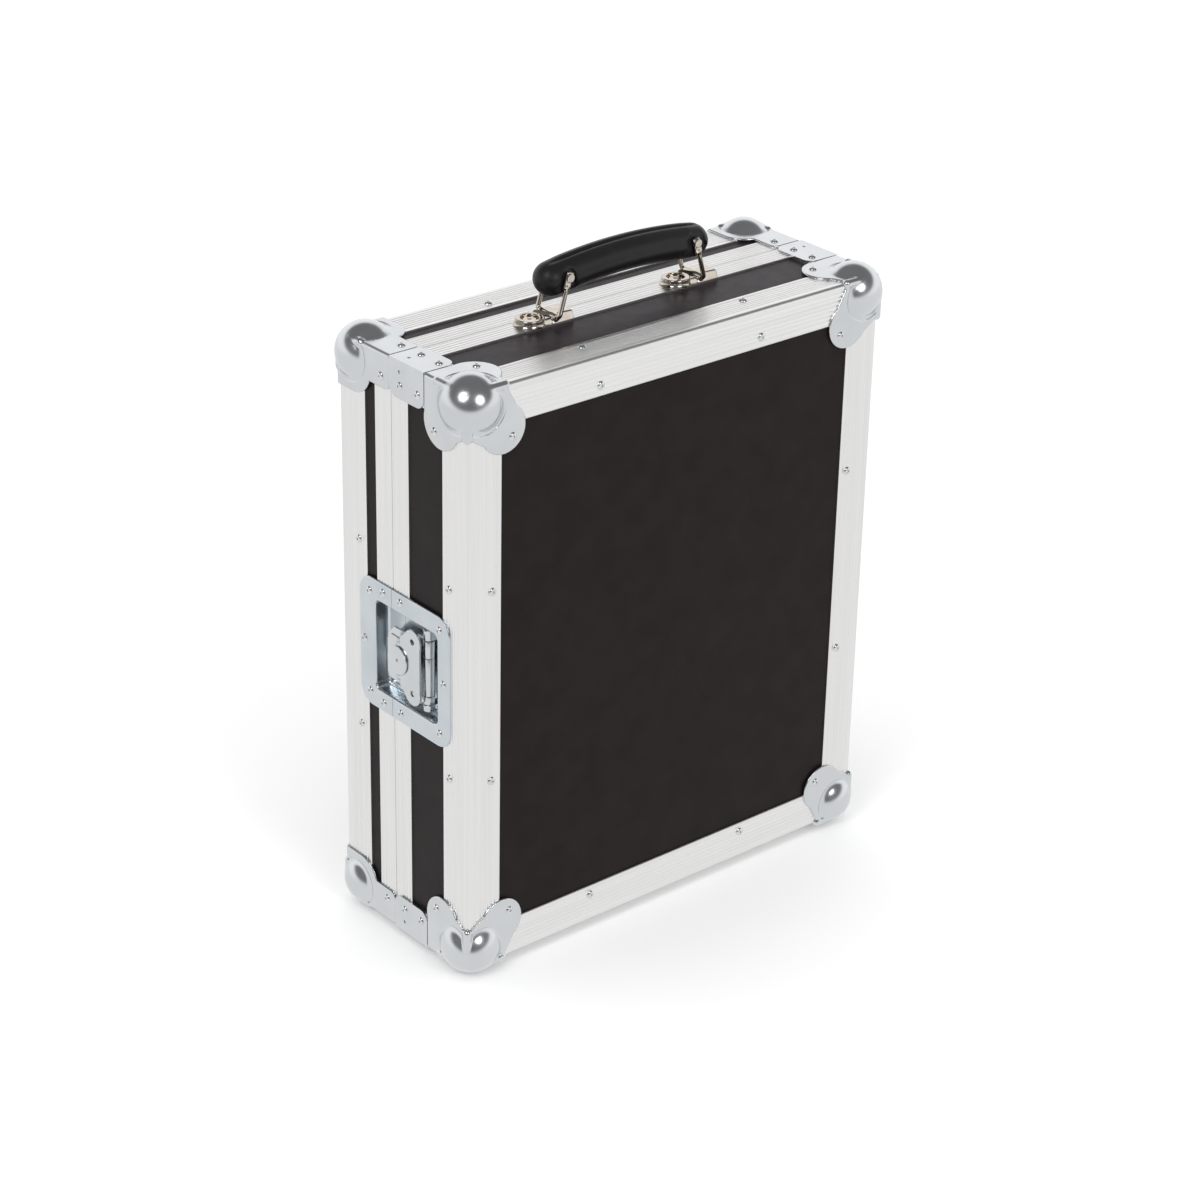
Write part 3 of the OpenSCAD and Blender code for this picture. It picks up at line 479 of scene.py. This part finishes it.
def net(field, lo, hi, step):
    """Skins the zero level of a distance field with quads, and draws its points onto the level.
    Gives the points, the quads and the field's slope at each point."""
    axes = [np.arange(a, b + step, step) for a, b in zip(lo, hi)]
    grid = field(*np.meshgrid(*axes, indexing="ij"))
    inside = grid < 0
    nx, ny, nz = grid.shape
    corners = [(i, j, k) for i in (0, 1) for j in (0, 1) for k in (0, 1)]
    cut = [(slice(i, nx - 1 + i), slice(j, ny - 1 + j), slice(k, nz - 1 + k)) for i, j, k in corners]
    count = sum(inside[c].astype(np.int8) for c in cut)
    mixed = (count > 0) & (count < 8)
    index = np.full(mixed.shape, -1, np.int64)
    cells = np.argwhere(mixed)
    index[mixed] = np.arange(len(cells))
    total = np.zeros((len(cells), 3))
    hits = np.zeros(len(cells))
    at = [grid[c][mixed] for c in cut]
    for a, ca in enumerate(corners):
        for b, cb in enumerate(corners):
            if b <= a or sum(abs(p - q) for p, q in zip(ca, cb)) != 1:
                continue
            crosses = (at[a] < 0) != (at[b] < 0)
            t = np.where(crosses, at[a] / np.where(crosses, at[a] - at[b], 1), 0)
            point = np.array(ca) + t[:, None] * (np.array(cb) - np.array(ca))
            total += point * crosses[:, None]
            hits += crosses
    verts = np.array(lo) + (cells + total / hits[:, None]) * step
    for _ in range(3):
        p = verts.T
        value = field(*p)
        e = step * 0.25
        slope = np.stack([(field(*(p + d)) - field(*(p - d))) / (2 * e)
                          for d in (np.array([[e], [0], [0]]), np.array([[0], [e], [0]]),
                                    np.array([[0], [0], [e]]))], 1)
        size = np.maximum((slope ** 2).sum(1), 0.2)
        move = slope * (value / size)[:, None]
        length = np.sqrt((move ** 2).sum(1))
        verts -= move * np.minimum(1, 0.4 * step / np.maximum(length, 1e-9))[:, None]
    normals = slope / np.maximum(np.sqrt((slope ** 2).sum(1)), 1e-6)[:, None]
    quads = []
    for axis in range(3):
        o = [i for i in range(3) if i != axis]
        take = [slice(1, n - 1) for n in grid.shape]
        take[axis] = slice(0, grid.shape[axis] - 1)
        ahead = list(take)
        ahead[axis] = slice(1, grid.shape[axis])
        a, b = inside[tuple(take)], inside[tuple(ahead)]
        flips = np.argwhere(a != b)
        base = flips + np.array([1 if i != axis else 0 for i in range(3)])
        ring = []
        for du, dv in ((-1, -1), (0, -1), (0, 0), (-1, 0)):
            c = base.copy()
            c[:, o[0]] += du
            c[:, o[1]] += dv
            ring.append(index[c[:, 0], c[:, 1], c[:, 2]])
        ring = np.stack(ring, 1)
        outward = a[tuple(flips.T)]
        if axis == 1:
            outward = ~outward
        ring[~outward] = ring[~outward][:, ::-1]
        quads.append(ring)
    return verts, np.concatenate(quads), normals


def skinned(name, points, quads, normals):
    """A mesh in metres that shades by the slope of the field it came from."""
    mesh = bpy.data.meshes.new(name)
    mesh.from_pydata((points * MM + np.array(ORIGIN)).tolist(), [], quads.tolist())
    mesh.shade_smooth()
    mesh.normals_split_custom_set_from_vertices(normals.tolist())
    return mesh


def corner_piece(name, verts, quads, normals, right, top, lid, body):
    """A copy of a corner's net, mirrored into one of the case's corners."""
    flip = np.array([-1 if right else 1, -1 if lid else 1, -1 if top else 1])
    start = np.array([W if right else 0, D if lid else 0, H if top else 0])
    faces = quads if flip.prod() > 0 else quads[:, ::-1]
    mesh = skinned(name, start + verts * flip, faces, normals * flip)
    mesh_piece(name, mesh, body, STEEL, [name.replace("_pressed", "")])


STEP = 0.8
NET_LOW = (-10.4, -10.4, -10.4)
FRONT_SHIFT, TOP_SHIFT, SIDE_SHIFT = (1.4, 0.2), (4.6, 4.7), (1.5, 4)
base_field = corner_field(lobe(BASE_APEX, FRONT_SHIFT), lobe(BASE_APEX, TOP_SHIFT, BRACE_EDGE),
                          lobe(BASE_APEX, SIDE_SHIFT, BRACE_EDGE), 32.5)
lid_side = arm(LID_APEX, ARM_END)
lid_field = corner_field(lobe(LID_APEX, FRONT_SHIFT), lid_side, lid_side, 26)
base_net = net(base_field, NET_LOW, (53, 53, 53), STEP)
lid_net = net(lid_field, NET_LOW, (53, 62.5, 53), STEP)
for top in (True, False):
    for right in (False, True):
        where = f"{'top' if top else 'bottom'}_{'right' if right else 'left'}"
        corner_piece(f"base_ball_corner_{where}_pressed", *base_net, right, top, False, "base")
        corner_piece(f"lid_ball_corner_{where}_pressed", *lid_net, right, top, True, "lid")

# ------------------------------------------------------------------ rivets

# A blind rivet's head as (radius, height) points, with its bore in the middle
HEAD = [(3.2, -0.3), (3.25, 0.12), (3.05, 0.5), (2.55, 0.9), (1.9, 1.18), (1.2, 1.3), (1.0, 1.22),
        (0.9, 0.5), (0, 0.4)]
for half in ("base", "lid"):
    bm = bmesh.new()
    for lo, hi in islands(f"{half}_rivets"):
        size = hi - lo
        axis = min(range(3), key=lambda i: size[i])
        middle = (lo + hi) / 2
        out = Vector((0, 0, 0))
        out[axis] = 1 if middle[axis] > (W, D, H)[axis] / 2 else -1
        foot = middle.copy()
        foot[axis] = lo[axis] if out[axis] > 0 else hi[axis]
        lathe(bm, HEAD, foot, out, 20)
    obj = piece(f"{half}_rivet_heads", bm, half, RIVET, [f"{half}_rivets"])
    # The bore floor (the many-sided cap) takes the near-black finish as painted shade, and the rest of the
    # head keeps the rivet steel
    obj.data.materials.append(PAINTED_BORE_SHADE)
    for f in obj.data.polygons:
        if len(f.vertices) > 4:
            f.material_index = 1

# ------------------------------------------------------------------ panels, braces and latch parts

BOARDS = [f"{h}_{s}board" for h in ("base", "lid") for s in ("", "left_", "right_", "top_", "bottom_")]
dress(BOARDS, LAMINATE)
dress(["base_depth_angles", "lid_depth_angles"], ALONG["y"])
dress(["base_braces"], STEEL, 0.35)
for side in ("left", "right"):
    dress([f"latch_{side}_{p}" for p in ("arm", "cam", "wing", "hook", "hinge_pin")], STEEL, 0.3)
dress(["handle_screws", "handle_left_cross_pin", "handle_right_cross_pin"], NICKEL, 0.3)

# ------------------------------------------------------------------ latch dishes

PARTING = case_box("lid_closing_profiles")[0].y - 0.15
DISH_DEPTH = 10.8
FLANGE_R = 14
RECESS_R = 4.6
RECESS = (33.3, 106.4, 35.5)  # lowest and highest y, half height


def rounded_rectangle(y0, y1, half, r, per_corner=8):
    """Points (y, z) round a rectangle, starting on its lower left arc."""
    points = []
    for cy, cz, turn in ((y0 + r, r - half, math.pi), (y1 - r, r - half, 1.5 * math.pi),
                         (y1 - r, half - r, 0), (y0 + r, half - r, 0.5 * math.pi)):
        for i in range(per_corner + 1):
            t = turn + 0.5 * math.pi * i / per_corner
            points.append((cy + r * math.cos(t), cz + r * math.sin(t)))
    return points


def dish_rings(y0, y1, half):
    """The pressed dish from the underside of its floor, round the flange's rim and back down to its floor."""
    ry0, ry1, rh = RECESS

    def outer(inset, u):
        loop = rounded_rectangle(y0 + inset, y1 - inset, half - inset, FLANGE_R - inset)
        return [(u, y, z) for y, z in loop]

    def inner(grow, u):
        loop = rounded_rectangle(ry0 - grow, ry1 + grow, rh + grow, max(RECESS_R + grow, 0.6))
        return [(u, y, z) for y, z in loop]

    d = DISH_DEPTH
    under = [inner(-2.5, -d - 1.2), inner(-0.4, -d - 1.2), inner(1.1, -d + 0.6), inner(1.1, 0.1)]
    flange = [outer(0.9, 0.1), outer(0.1, 0.0), outer(0.0, 0.25), outer(0.08, 0.75), outer(0.4, 1.22),
              outer(1.0, 1.48), outer(1.8, 1.5), inner(2.4, 1.5), inner(1.5, 1.42), inner(0.8, 1.1)]
    wall = [inner(0.3, 0.55), inner(0.08, -0.3), inner(-0.25, -d + 3.2), inner(-0.6, -d + 1.7),
            inner(-1.4, -d + 0.7), inner(-2.6, -d + 0.12), inner(-3.8, -d)]
    return under + flange + wall


def latch_points(bm, right, middle):
    """Moves a bmesh from the latch's frame, which has u outwards, into the case's frame."""
    for v in bm.verts:
        u, y, z = v.co
        v.co = (W + u if right else -u, y, middle + z)


def knuckle(bm, z0, z1, u, y, r, foot):
    """A knuckle folded up out of the dish's floor: a round back on a straight foot."""
    outline = [(foot, y + r)] + [(u + r * math.sin(t), y + r * math.cos(t))
                                 for t in (math.pi * i / 14 for i in range(15))] + [(foot, y - r)]
    inset = 0.45
    rings = []
    for z, shrink in ((z0, inset), (z0 + inset, 0), (z1 - inset, 0), (z1, inset)):
        rings.append([(u + (pu - u) * (1 - shrink / r) if pu > foot else pu,
                       y + (py - y) * (1 - shrink / r), z) for pu, py in outline])
    add_loop_stack(bm, rings, cap_start=True, cap_end=True)


KNUCKLES = ((24.2, 32.5), (-32.5, -27.2))
KNUCKLE_R = 4.2
PIN_U = -5
KEEPER_END, KEEPER_HALF = 93.5, 12
for right in (False, True):
    side = "right" if right else "left"
    base_lo, base_hi = case_box(f"latch_{side}_dish_base")
    lid_hi = case_box(f"latch_{side}_dish_lid")[1]
    middle = (base_lo.z + base_hi.z) / 2
    half_h = (base_hi.z - base_lo.z) / 2
    for half in ("base", "lid"):
        bm = bmesh.new()
        add_loop_stack(bm, dish_rings(base_lo.y, lid_hi.y, half_h), cap_start=True, cap_end=True)
        keep = 1 if half == "base" else -1
        cut = bmesh.ops.bisect_plane(bm, geom=bm.verts[:] + bm.edges[:] + bm.faces[:], dist=1e-4,
                                     plane_co=(0, PARTING - 0.15 * keep, 0), plane_no=(0, keep, 0),
                                     clear_outer=True)
        rim = [e for e in cut["geom_cut"] if isinstance(e, bmesh.types.BMEdge)]
        bmesh.ops.holes_fill(bm, edges=rim, sides=0)
        if half == "base":
            pin_lo, pin_hi = case_box(f"latch_{side}_hinge_pin")
            pin_y = (pin_lo.y + pin_hi.y) / 2
            for z0, z1 in KNUCKLES:
                knuckle(bm, z0, z1, PIN_U, pin_y, KNUCKLE_R, -DISH_DEPTH - 0.4)
        else:
            block(bm, (-DISH_DEPTH - 0.6, PARTING + 2.2, -KEEPER_HALF),
                  (-DISH_DEPTH + 1.2, KEEPER_END, KEEPER_HALF), 0.5)
        latch_points(bm, right, middle)
        piece(f"latch_{side}_{half}_pressed_dish", bm, half, DISH, [f"latch_{side}_dish_{half}"])

# ------------------------------------------------------------------ handle

TOP = H
HANDLE_Y = sum(c.y for c in case_box("handle_left_plate")) / 2
HINGE_UP = 4.0
BOSS_X, BOSS_R, BOSS_UP, BOSS_FLARE = 17.0, 10.4, 5.45, 1.9
EYE_R, EYE_FLOOR = 6.7, 1.6
CHANNEL_HALF, CHANNEL_END, CHANNEL_UP = 9.7, 16.2, 6.7
NECK_HALF, NECK_UP = 9.0, 4.3
ROLL_R, ROLL_HALF = 2.7, 10.4
WIRE_R = 1.75
WIRE_BEND = 3.0
LEG_Y = 12.25
LEG_REACH = 30
FEET_SPAN = 136


def field_piece(name, field, lo, hi, step, shift, body, finish, replaced):
    """A piece skinned from a distance field that is drawn about the point shift of the case's frame."""
    verts, quads, normals = net(field, lo, hi, step)
    mesh = skinned(name, verts + np.array(shift), quads, normals)
    return mesh_piece(name, mesh, body, finish, replaced)


def rounded_box(x, y, z, lo, hi, r):
    q = [np.abs(p - (a + b) / 2) - (b - a) / 2 + r for p, a, b in zip((x, y, z), lo, hi)]
    out = np.sqrt(sum(np.maximum(c, 0) ** 2 for c in q))
    return out + np.minimum(np.maximum(np.maximum(q[0], q[1]), q[2]), 0) - r


def plate_field(x, y, z):
    """A handle plate about its hinge: a flared screw boss with a deep eye, and a folded channel beside it."""
    spread = np.hypot(x + BOSS_X, y)
    flare = BOSS_FLARE * np.exp(-0.9 * np.maximum(z, 0))
    boss = blend_max(spread - BOSS_R - flare, z - BOSS_UP, 0.9)
    slope = (np.abs(y) - CHANNEL_HALF + 0.26 * z) / 1.03
    ends = np.maximum(x - CHANNEL_END + 0.12 * z, -(x + 6.5) - 0.45 * y + 0.5 * z)
    channel = blend_max(blend_max(slope, ends, 0.8), z - CHANNEL_UP + 0.05 * np.abs(x - 4), 1.0)
    neck = blend_max(np.abs(y) - NECK_HALF + 0.3 * z, np.maximum(x, -(x + BOSS_X)), 0.8)
    neck = blend_max(neck, z - NECK_UP, 1.2)
    body = blend_min(blend_min(boss, neck, 0.8), channel, 0.9)
    roll = np.maximum(np.hypot(x, z - HINGE_UP) - ROLL_R, np.abs(y) - ROLL_HALF)
    body = blend_min(body, roll, 0.6)
    eye = np.maximum(spread - EYE_R, EYE_FLOOR - z)
    body = blend_max(body, -eye, 0.8)
    return np.maximum(body, -z)


def stirrup_field(lean):
    """A bent wire that leans from upright: its foot is the hinge pin, its ends are flattened eyes."""
    c, s = math.cos(lean), math.sin(lean)
    eye_low = (-3.1, LEG_Y - 1.15, LEG_REACH - 8.5)
    eye_high = (3.1, LEG_Y + 1.15, LEG_REACH + 3.9)

    def field(x, y, z):
        px, pz = x * c - z * s, x * s + z * c
        ay = np.abs(y)
        foot = np.sqrt(px ** 2 + pz ** 2 + np.maximum(ay - LEG_Y + WIRE_BEND, 0) ** 2) - WIRE_R
        past = np.maximum(np.maximum(WIRE_BEND - pz, pz - LEG_REACH + 7), 0)
        leg = np.sqrt(px ** 2 + (ay - LEG_Y) ** 2 + past ** 2) - WIRE_R
        elbow_y, elbow_z = ay - LEG_Y + WIRE_BEND, pz - WIRE_BEND
        ring = np.sqrt((np.hypot(elbow_y, elbow_z) - WIRE_BEND) ** 2 + px ** 2) - WIRE_R
        elbow = np.where((elbow_y >= 0) & (elbow_z <= 0), ring, 50.0)
        body = np.minimum(np.minimum(foot, leg), elbow)
        return blend_min(body, rounded_box(px, ay, pz, eye_low, eye_high, 1.1), 1.6)
    return field


GRIP_LO, GRIP_HI = case_box("handle_grip")
GRIP_X = (GRIP_LO.x + GRIP_HI.x) / 2
GRIP_LEN = GRIP_HI.x - GRIP_LO.x
GRIP_RISE = 35.2
GRIP_SAG = 7.4
GRIP_ARC = ((GRIP_LEN / 2) ** 2 + GRIP_SAG ** 2) / (2 * GRIP_SAG)
GRIP_SPAN = 119.0
GRIP_GIRTH = 12.9
GRIP_END = 12.6
GRIP_SHORT = 2.0  # how much the right end falls short of the left one
FADE_IN, FADE_LENGTH = 9, 16
EYE_UP = 32.8
WELL_HALF = {-1: 5.6, 1: 7.2}
WELL_IN = 10.3
WELL_LEAN, WELL_FLARE = 0.22, 0.3


def bell(angle, centre, width):
    """1 at an angle in degrees and fading away from it."""
    away = (angle - centre + 180) % 360 - 180
    return np.exp(-(away / width) ** 2)


def grip_field(x, y, z):
    """The moulded grip: a bent bar with a crease along its top and a finger fold low on its front.
    A well at each end leaves room for the stirrup's legs to swing."""
    up = z - (GRIP_RISE - GRIP_ARC)
    across = np.hypot(x, up) - GRIP_ARC
    along = np.arctan2(x, up) * GRIP_ARC
    turn = np.degrees(np.arctan2(across, -y))
    fade = np.clip((GRIP_LEN / 2 - FADE_IN - np.abs(along)) / FADE_LENGTH, 0, 1)
    crease, shoulder, fold = bell(turn, 82, 8), bell(turn, 60, 16), bell(turn, 12, 15)
    girth = GRIP_GIRTH + fade * (0.45 - 2.0 * crease + 0.35 * shoulder - 0.95 * fold)
    past = np.maximum(np.maximum(along + GRIP_SHORT, -along) - GRIP_LEN / 2 + GRIP_END, 0)
    body = np.sqrt((y * 0.985) ** 2 + (across * 1.03) ** 2 + (past * 1.03) ** 2) - girth
    low = z - EYE_UP
    for s, half_width in WELL_HALF.items():
        near = 0.9 * (x - s * GRIP_SPAN / 2)
        round_top = np.hypot(near, np.maximum(low, 0))
        flared = np.abs(near + s * low * WELL_LEAN) + WELL_FLARE * low
        well = np.maximum(np.where(low > 0, round_top, flared) - half_width, WELL_IN - np.abs(y))
        body = blend_max(body, -well, 2.2)
    return body


LEAN = math.asin((FEET_SPAN - GRIP_SPAN) / 2 / LEG_REACH)
for right in (False, True):
    side = "right" if right else "left"
    hinge_x = case_box(f"handle_{side}_plate")[1].x - 16.5
    field_piece(f"handle_{side}_pressed_plate", plate_field, (-29, -11.5, -1.2), (18.4, 11.5, 9), 0.55,
                (hinge_x, HANDLE_Y, TOP), "base", NICKEL, [f"handle_{side}_plate"])
    field_piece(f"handle_{side}_wire", stirrup_field(-LEAN if right else LEAN), (-18, -16.5, -4),
                (18, 16.5, 37), 0.6, (hinge_x, HANDLE_Y, TOP + HINGE_UP), f"{side}_stirrup",
                NICKEL, [f"handle_{side}_stirrup"])
field_piece("handle_moulded_grip", grip_field, (-GRIP_LEN / 2 - 2, -15, 10), (GRIP_LEN / 2 + 2, 15, 51), 0.9,
            (GRIP_X, HANDLE_Y, TOP), "grip", GRIP, ["handle_grip"])

# ------------------------------------------------------------------ foam


def foam_blocks(name, node, body, bevel, trim=0.0):
    """The cut blocks of a foam node with softened edges, held trim clear of the left and right boards."""
    bm = bmesh.new()
    for lo, hi in islands(node):
        lo, hi = Vector(lo), Vector(hi)
        if trim:
            lo.x = max(lo.x, trim)
            hi.x = min(hi.x, W - trim)
        block(bm, lo, hi, bevel, 3)
    piece(name, bm, body, FOAM, [node])


foam_blocks("base_foam_bed", "base_foam_floor", "base", 1.5)
foam_blocks("base_foam_rim", "base_foam_walls", "base", 2.0, 12.6)
foam_blocks("base_foam_uprights", "base_foam_long_dividers", "base", 1.6)
foam_blocks("base_foam_shelves", "base_foam_short_dividers", "base", 1.6)


def egg_crate():
    """Convoluted foam: a waved face towards the pockets on a flat pad."""
    lo, hi = case_box("lid_foam")
    x0, x1 = lo.x + 2.8, hi.x - 2.8
    z0, z1 = lo.z + 0.6, hi.z - 0.6
    nx, nz = 104, 124
    pitch_x, pitch_z, swing = 29.8, 28.9, 6.0
    bm = bmesh.new()
    grid = []
    for j in range(nz + 1):
        row = []
        for i in range(nx + 1):
            x = x0 + (x1 - x0) * i / nx
            z = z0 + (z1 - z0) * j / nz
            wave = math.sin(TAU * (x - x0) / pitch_x) * math.sin(TAU * (z - z0) / pitch_z)
            row.append(bm.verts.new((x, lo.y + swing + 0.6 - swing * wave, z)))
        grid.append(row)
    for j in range(nz):
        for i in range(nx):
            bm.faces.new((grid[j][i], grid[j][i + 1], grid[j + 1][i + 1], grid[j + 1][i]))
    rim = grid[0][:] + [r[-1] for r in grid[1:]] + grid[-1][-2::-1] + [r[0] for r in grid[-2:0:-1]]
    back = [bm.verts.new((v.co.x, hi.y - 0.5, v.co.z)) for v in rim]
    n = len(rim)
    for i in range(n):
        bm.faces.new((rim[i], back[i], back[(i + 1) % n], rim[(i + 1) % n]))
    bm.faces.new(back)
    piece("lid_foam_crate", bm, "lid", FOAM, ["lid_foam"])


egg_crate()

# ------------------------------------------------------------------ stage, light, camera

floor_mesh = bpy.data.meshes.new("floor")
floor_mesh.from_pydata([(-8, -8, 0), (8, -8, 0), (8, 8, 0), (-8, 8, 0)], [], [(0, 1, 2, 3)])
floor = bpy.data.objects.new("floor", floor_mesh)
bpy.context.scene.collection.objects.link(floor)
floor_mesh.materials.append(material("floor_paper", (0.93, 0.93, 0.93), (0.94, 0.94, 0.94), (0.8, 0.9),
                                     scale=3, specular=0.05))
floor.visible_glossy = False

CAMERA_AT = Vector((-1.3697, -1.6029, 1.2689))
AZIMUTH, ELEVATION, ROLL = math.radians(-40.32), math.radians(26.35), math.radians(1.21)
back = Vector((math.sin(AZIMUTH) * math.cos(ELEVATION), -math.cos(AZIMUTH) * math.cos(ELEVATION),
               math.sin(ELEVATION)))
level = Vector((math.cos(AZIMUTH), math.sin(AZIMUTH), 0))
up = back.cross(level)

ROOM_LIGHT = 1.06
GLOSS_LIGHT = 1.35
GLOSS_CEILING = 0.2
GLOSS_BELOW = -0.24  # added below the horizon
world = bpy.data.worlds.new("studio")
bpy.context.scene.world = world
world.use_nodes = True
tree = world.node_tree
plain = tree.nodes["Background"]
plain.inputs["Color"].default_value = (1, 1, 1, 1)
plain.inputs["Strength"].default_value = ROOM_LIGHT
mirror = tree.nodes.new("ShaderNodeBackground")
sight = tree.nodes.new("ShaderNodeTexCoord")


def toward(direction, start, stop):
    """A value that rises from 0 to 1 as a ray turns towards a direction."""
    dot = tree.nodes.new("ShaderNodeVectorMath")
    dot.operation = "DOT_PRODUCT"
    tree.links.new(sight.outputs["Generated"], dot.inputs[0])
    dot.inputs[1].default_value = direction
    ramp = tree.nodes.new("ShaderNodeMapRange")
    ramp.interpolation_type = "SMOOTHSTEP"
    ramp.inputs["From Min"].default_value = start
    ramp.inputs["From Max"].default_value = stop
    tree.links.new(dot.outputs["Value"], ramp.inputs["Value"])
    return ramp.outputs["Result"]


# What gloss sees: white paper low all round, and a dark ceiling that comes down behind the camera
CEILING_UP = math.radians(67)
ceiling = Vector((back.x, back.y, 0)).normalized() * math.cos(CEILING_UP)
ceiling.z = math.sin(CEILING_UP)
dark_side = toward(ceiling, 0.16, 0.36)
shade = tree.nodes.new("ShaderNodeMapRange")
shade.inputs["To Min"].default_value = GLOSS_LIGHT
shade.inputs["To Max"].default_value = GLOSS_CEILING
tree.links.new(dark_side, shade.inputs["Value"])
paper = tree.nodes.new("ShaderNodeMath")
paper.operation = "MULTIPLY_ADD"
tree.links.new(toward(Vector((0, 0, -1)), -0.05, 0.2), paper.inputs[0])
paper.inputs[1].default_value = GLOSS_BELOW
tree.links.new(shade.outputs["Result"], paper.inputs[2])
tree.links.new(paper.outputs["Value"], mirror.inputs["Strength"])
rays = tree.nodes.new("ShaderNodeLightPath")
pick = tree.nodes.new("ShaderNodeMixShader")
tree.links.new(rays.outputs["Is Glossy Ray"], pick.inputs[0])
tree.links.new(plain.outputs["Background"], pick.inputs[1])
tree.links.new(mirror.outputs["Background"], pick.inputs[2])
tree.links.new(pick.outputs["Shader"], tree.nodes["World Output"].inputs["Surface"])


LAMP_DISTANCE = 2.6
LAMP_RADIANCE = 4.0


def lamp(name, direction, radius):
    """A round umbrella that faces the middle of the case."""
    light = bpy.data.lights.new(name, "AREA")
    light.shape = "DISK"
    light.size = 2 * radius
    light.energy = LAMP_RADIANCE * math.pi * math.pi * radius ** 2
    obj = bpy.data.objects.new(name, light)
    bpy.context.scene.collection.objects.link(obj)
    target = Vector((0, 0, 0.35))
    obj.location = target + direction.normalized() * LAMP_DISTANCE
    obj.rotation_euler = (target - obj.location).to_track_quat("-Z", "Y").to_euler()


lamp("umbrella_left", level * -0.4 + up * 0.28 + back * 0.85, 0.62)
lamp("umbrella_right", level * 0.52 + up * 0.14 + back * 0.85, 0.6)

right_axis = level * math.cos(ROLL) + up * math.sin(ROLL)
up_axis = up * math.cos(ROLL) - level * math.sin(ROLL)
lens = bpy.data.cameras.new("camera")
lens.sensor_width = 36
lens.lens = 94.04
lens.clip_end = 100
camera = bpy.data.objects.new("camera", lens)
bpy.context.scene.collection.objects.link(camera)
turn = Matrix((right_axis, up_axis, back)).transposed().to_4x4()
camera.matrix_world = Matrix.Translation(CAMERA_AT) @ turn
bpy.context.scene.camera = camera
bpy.context.scene.view_settings.view_transform = "Standard"
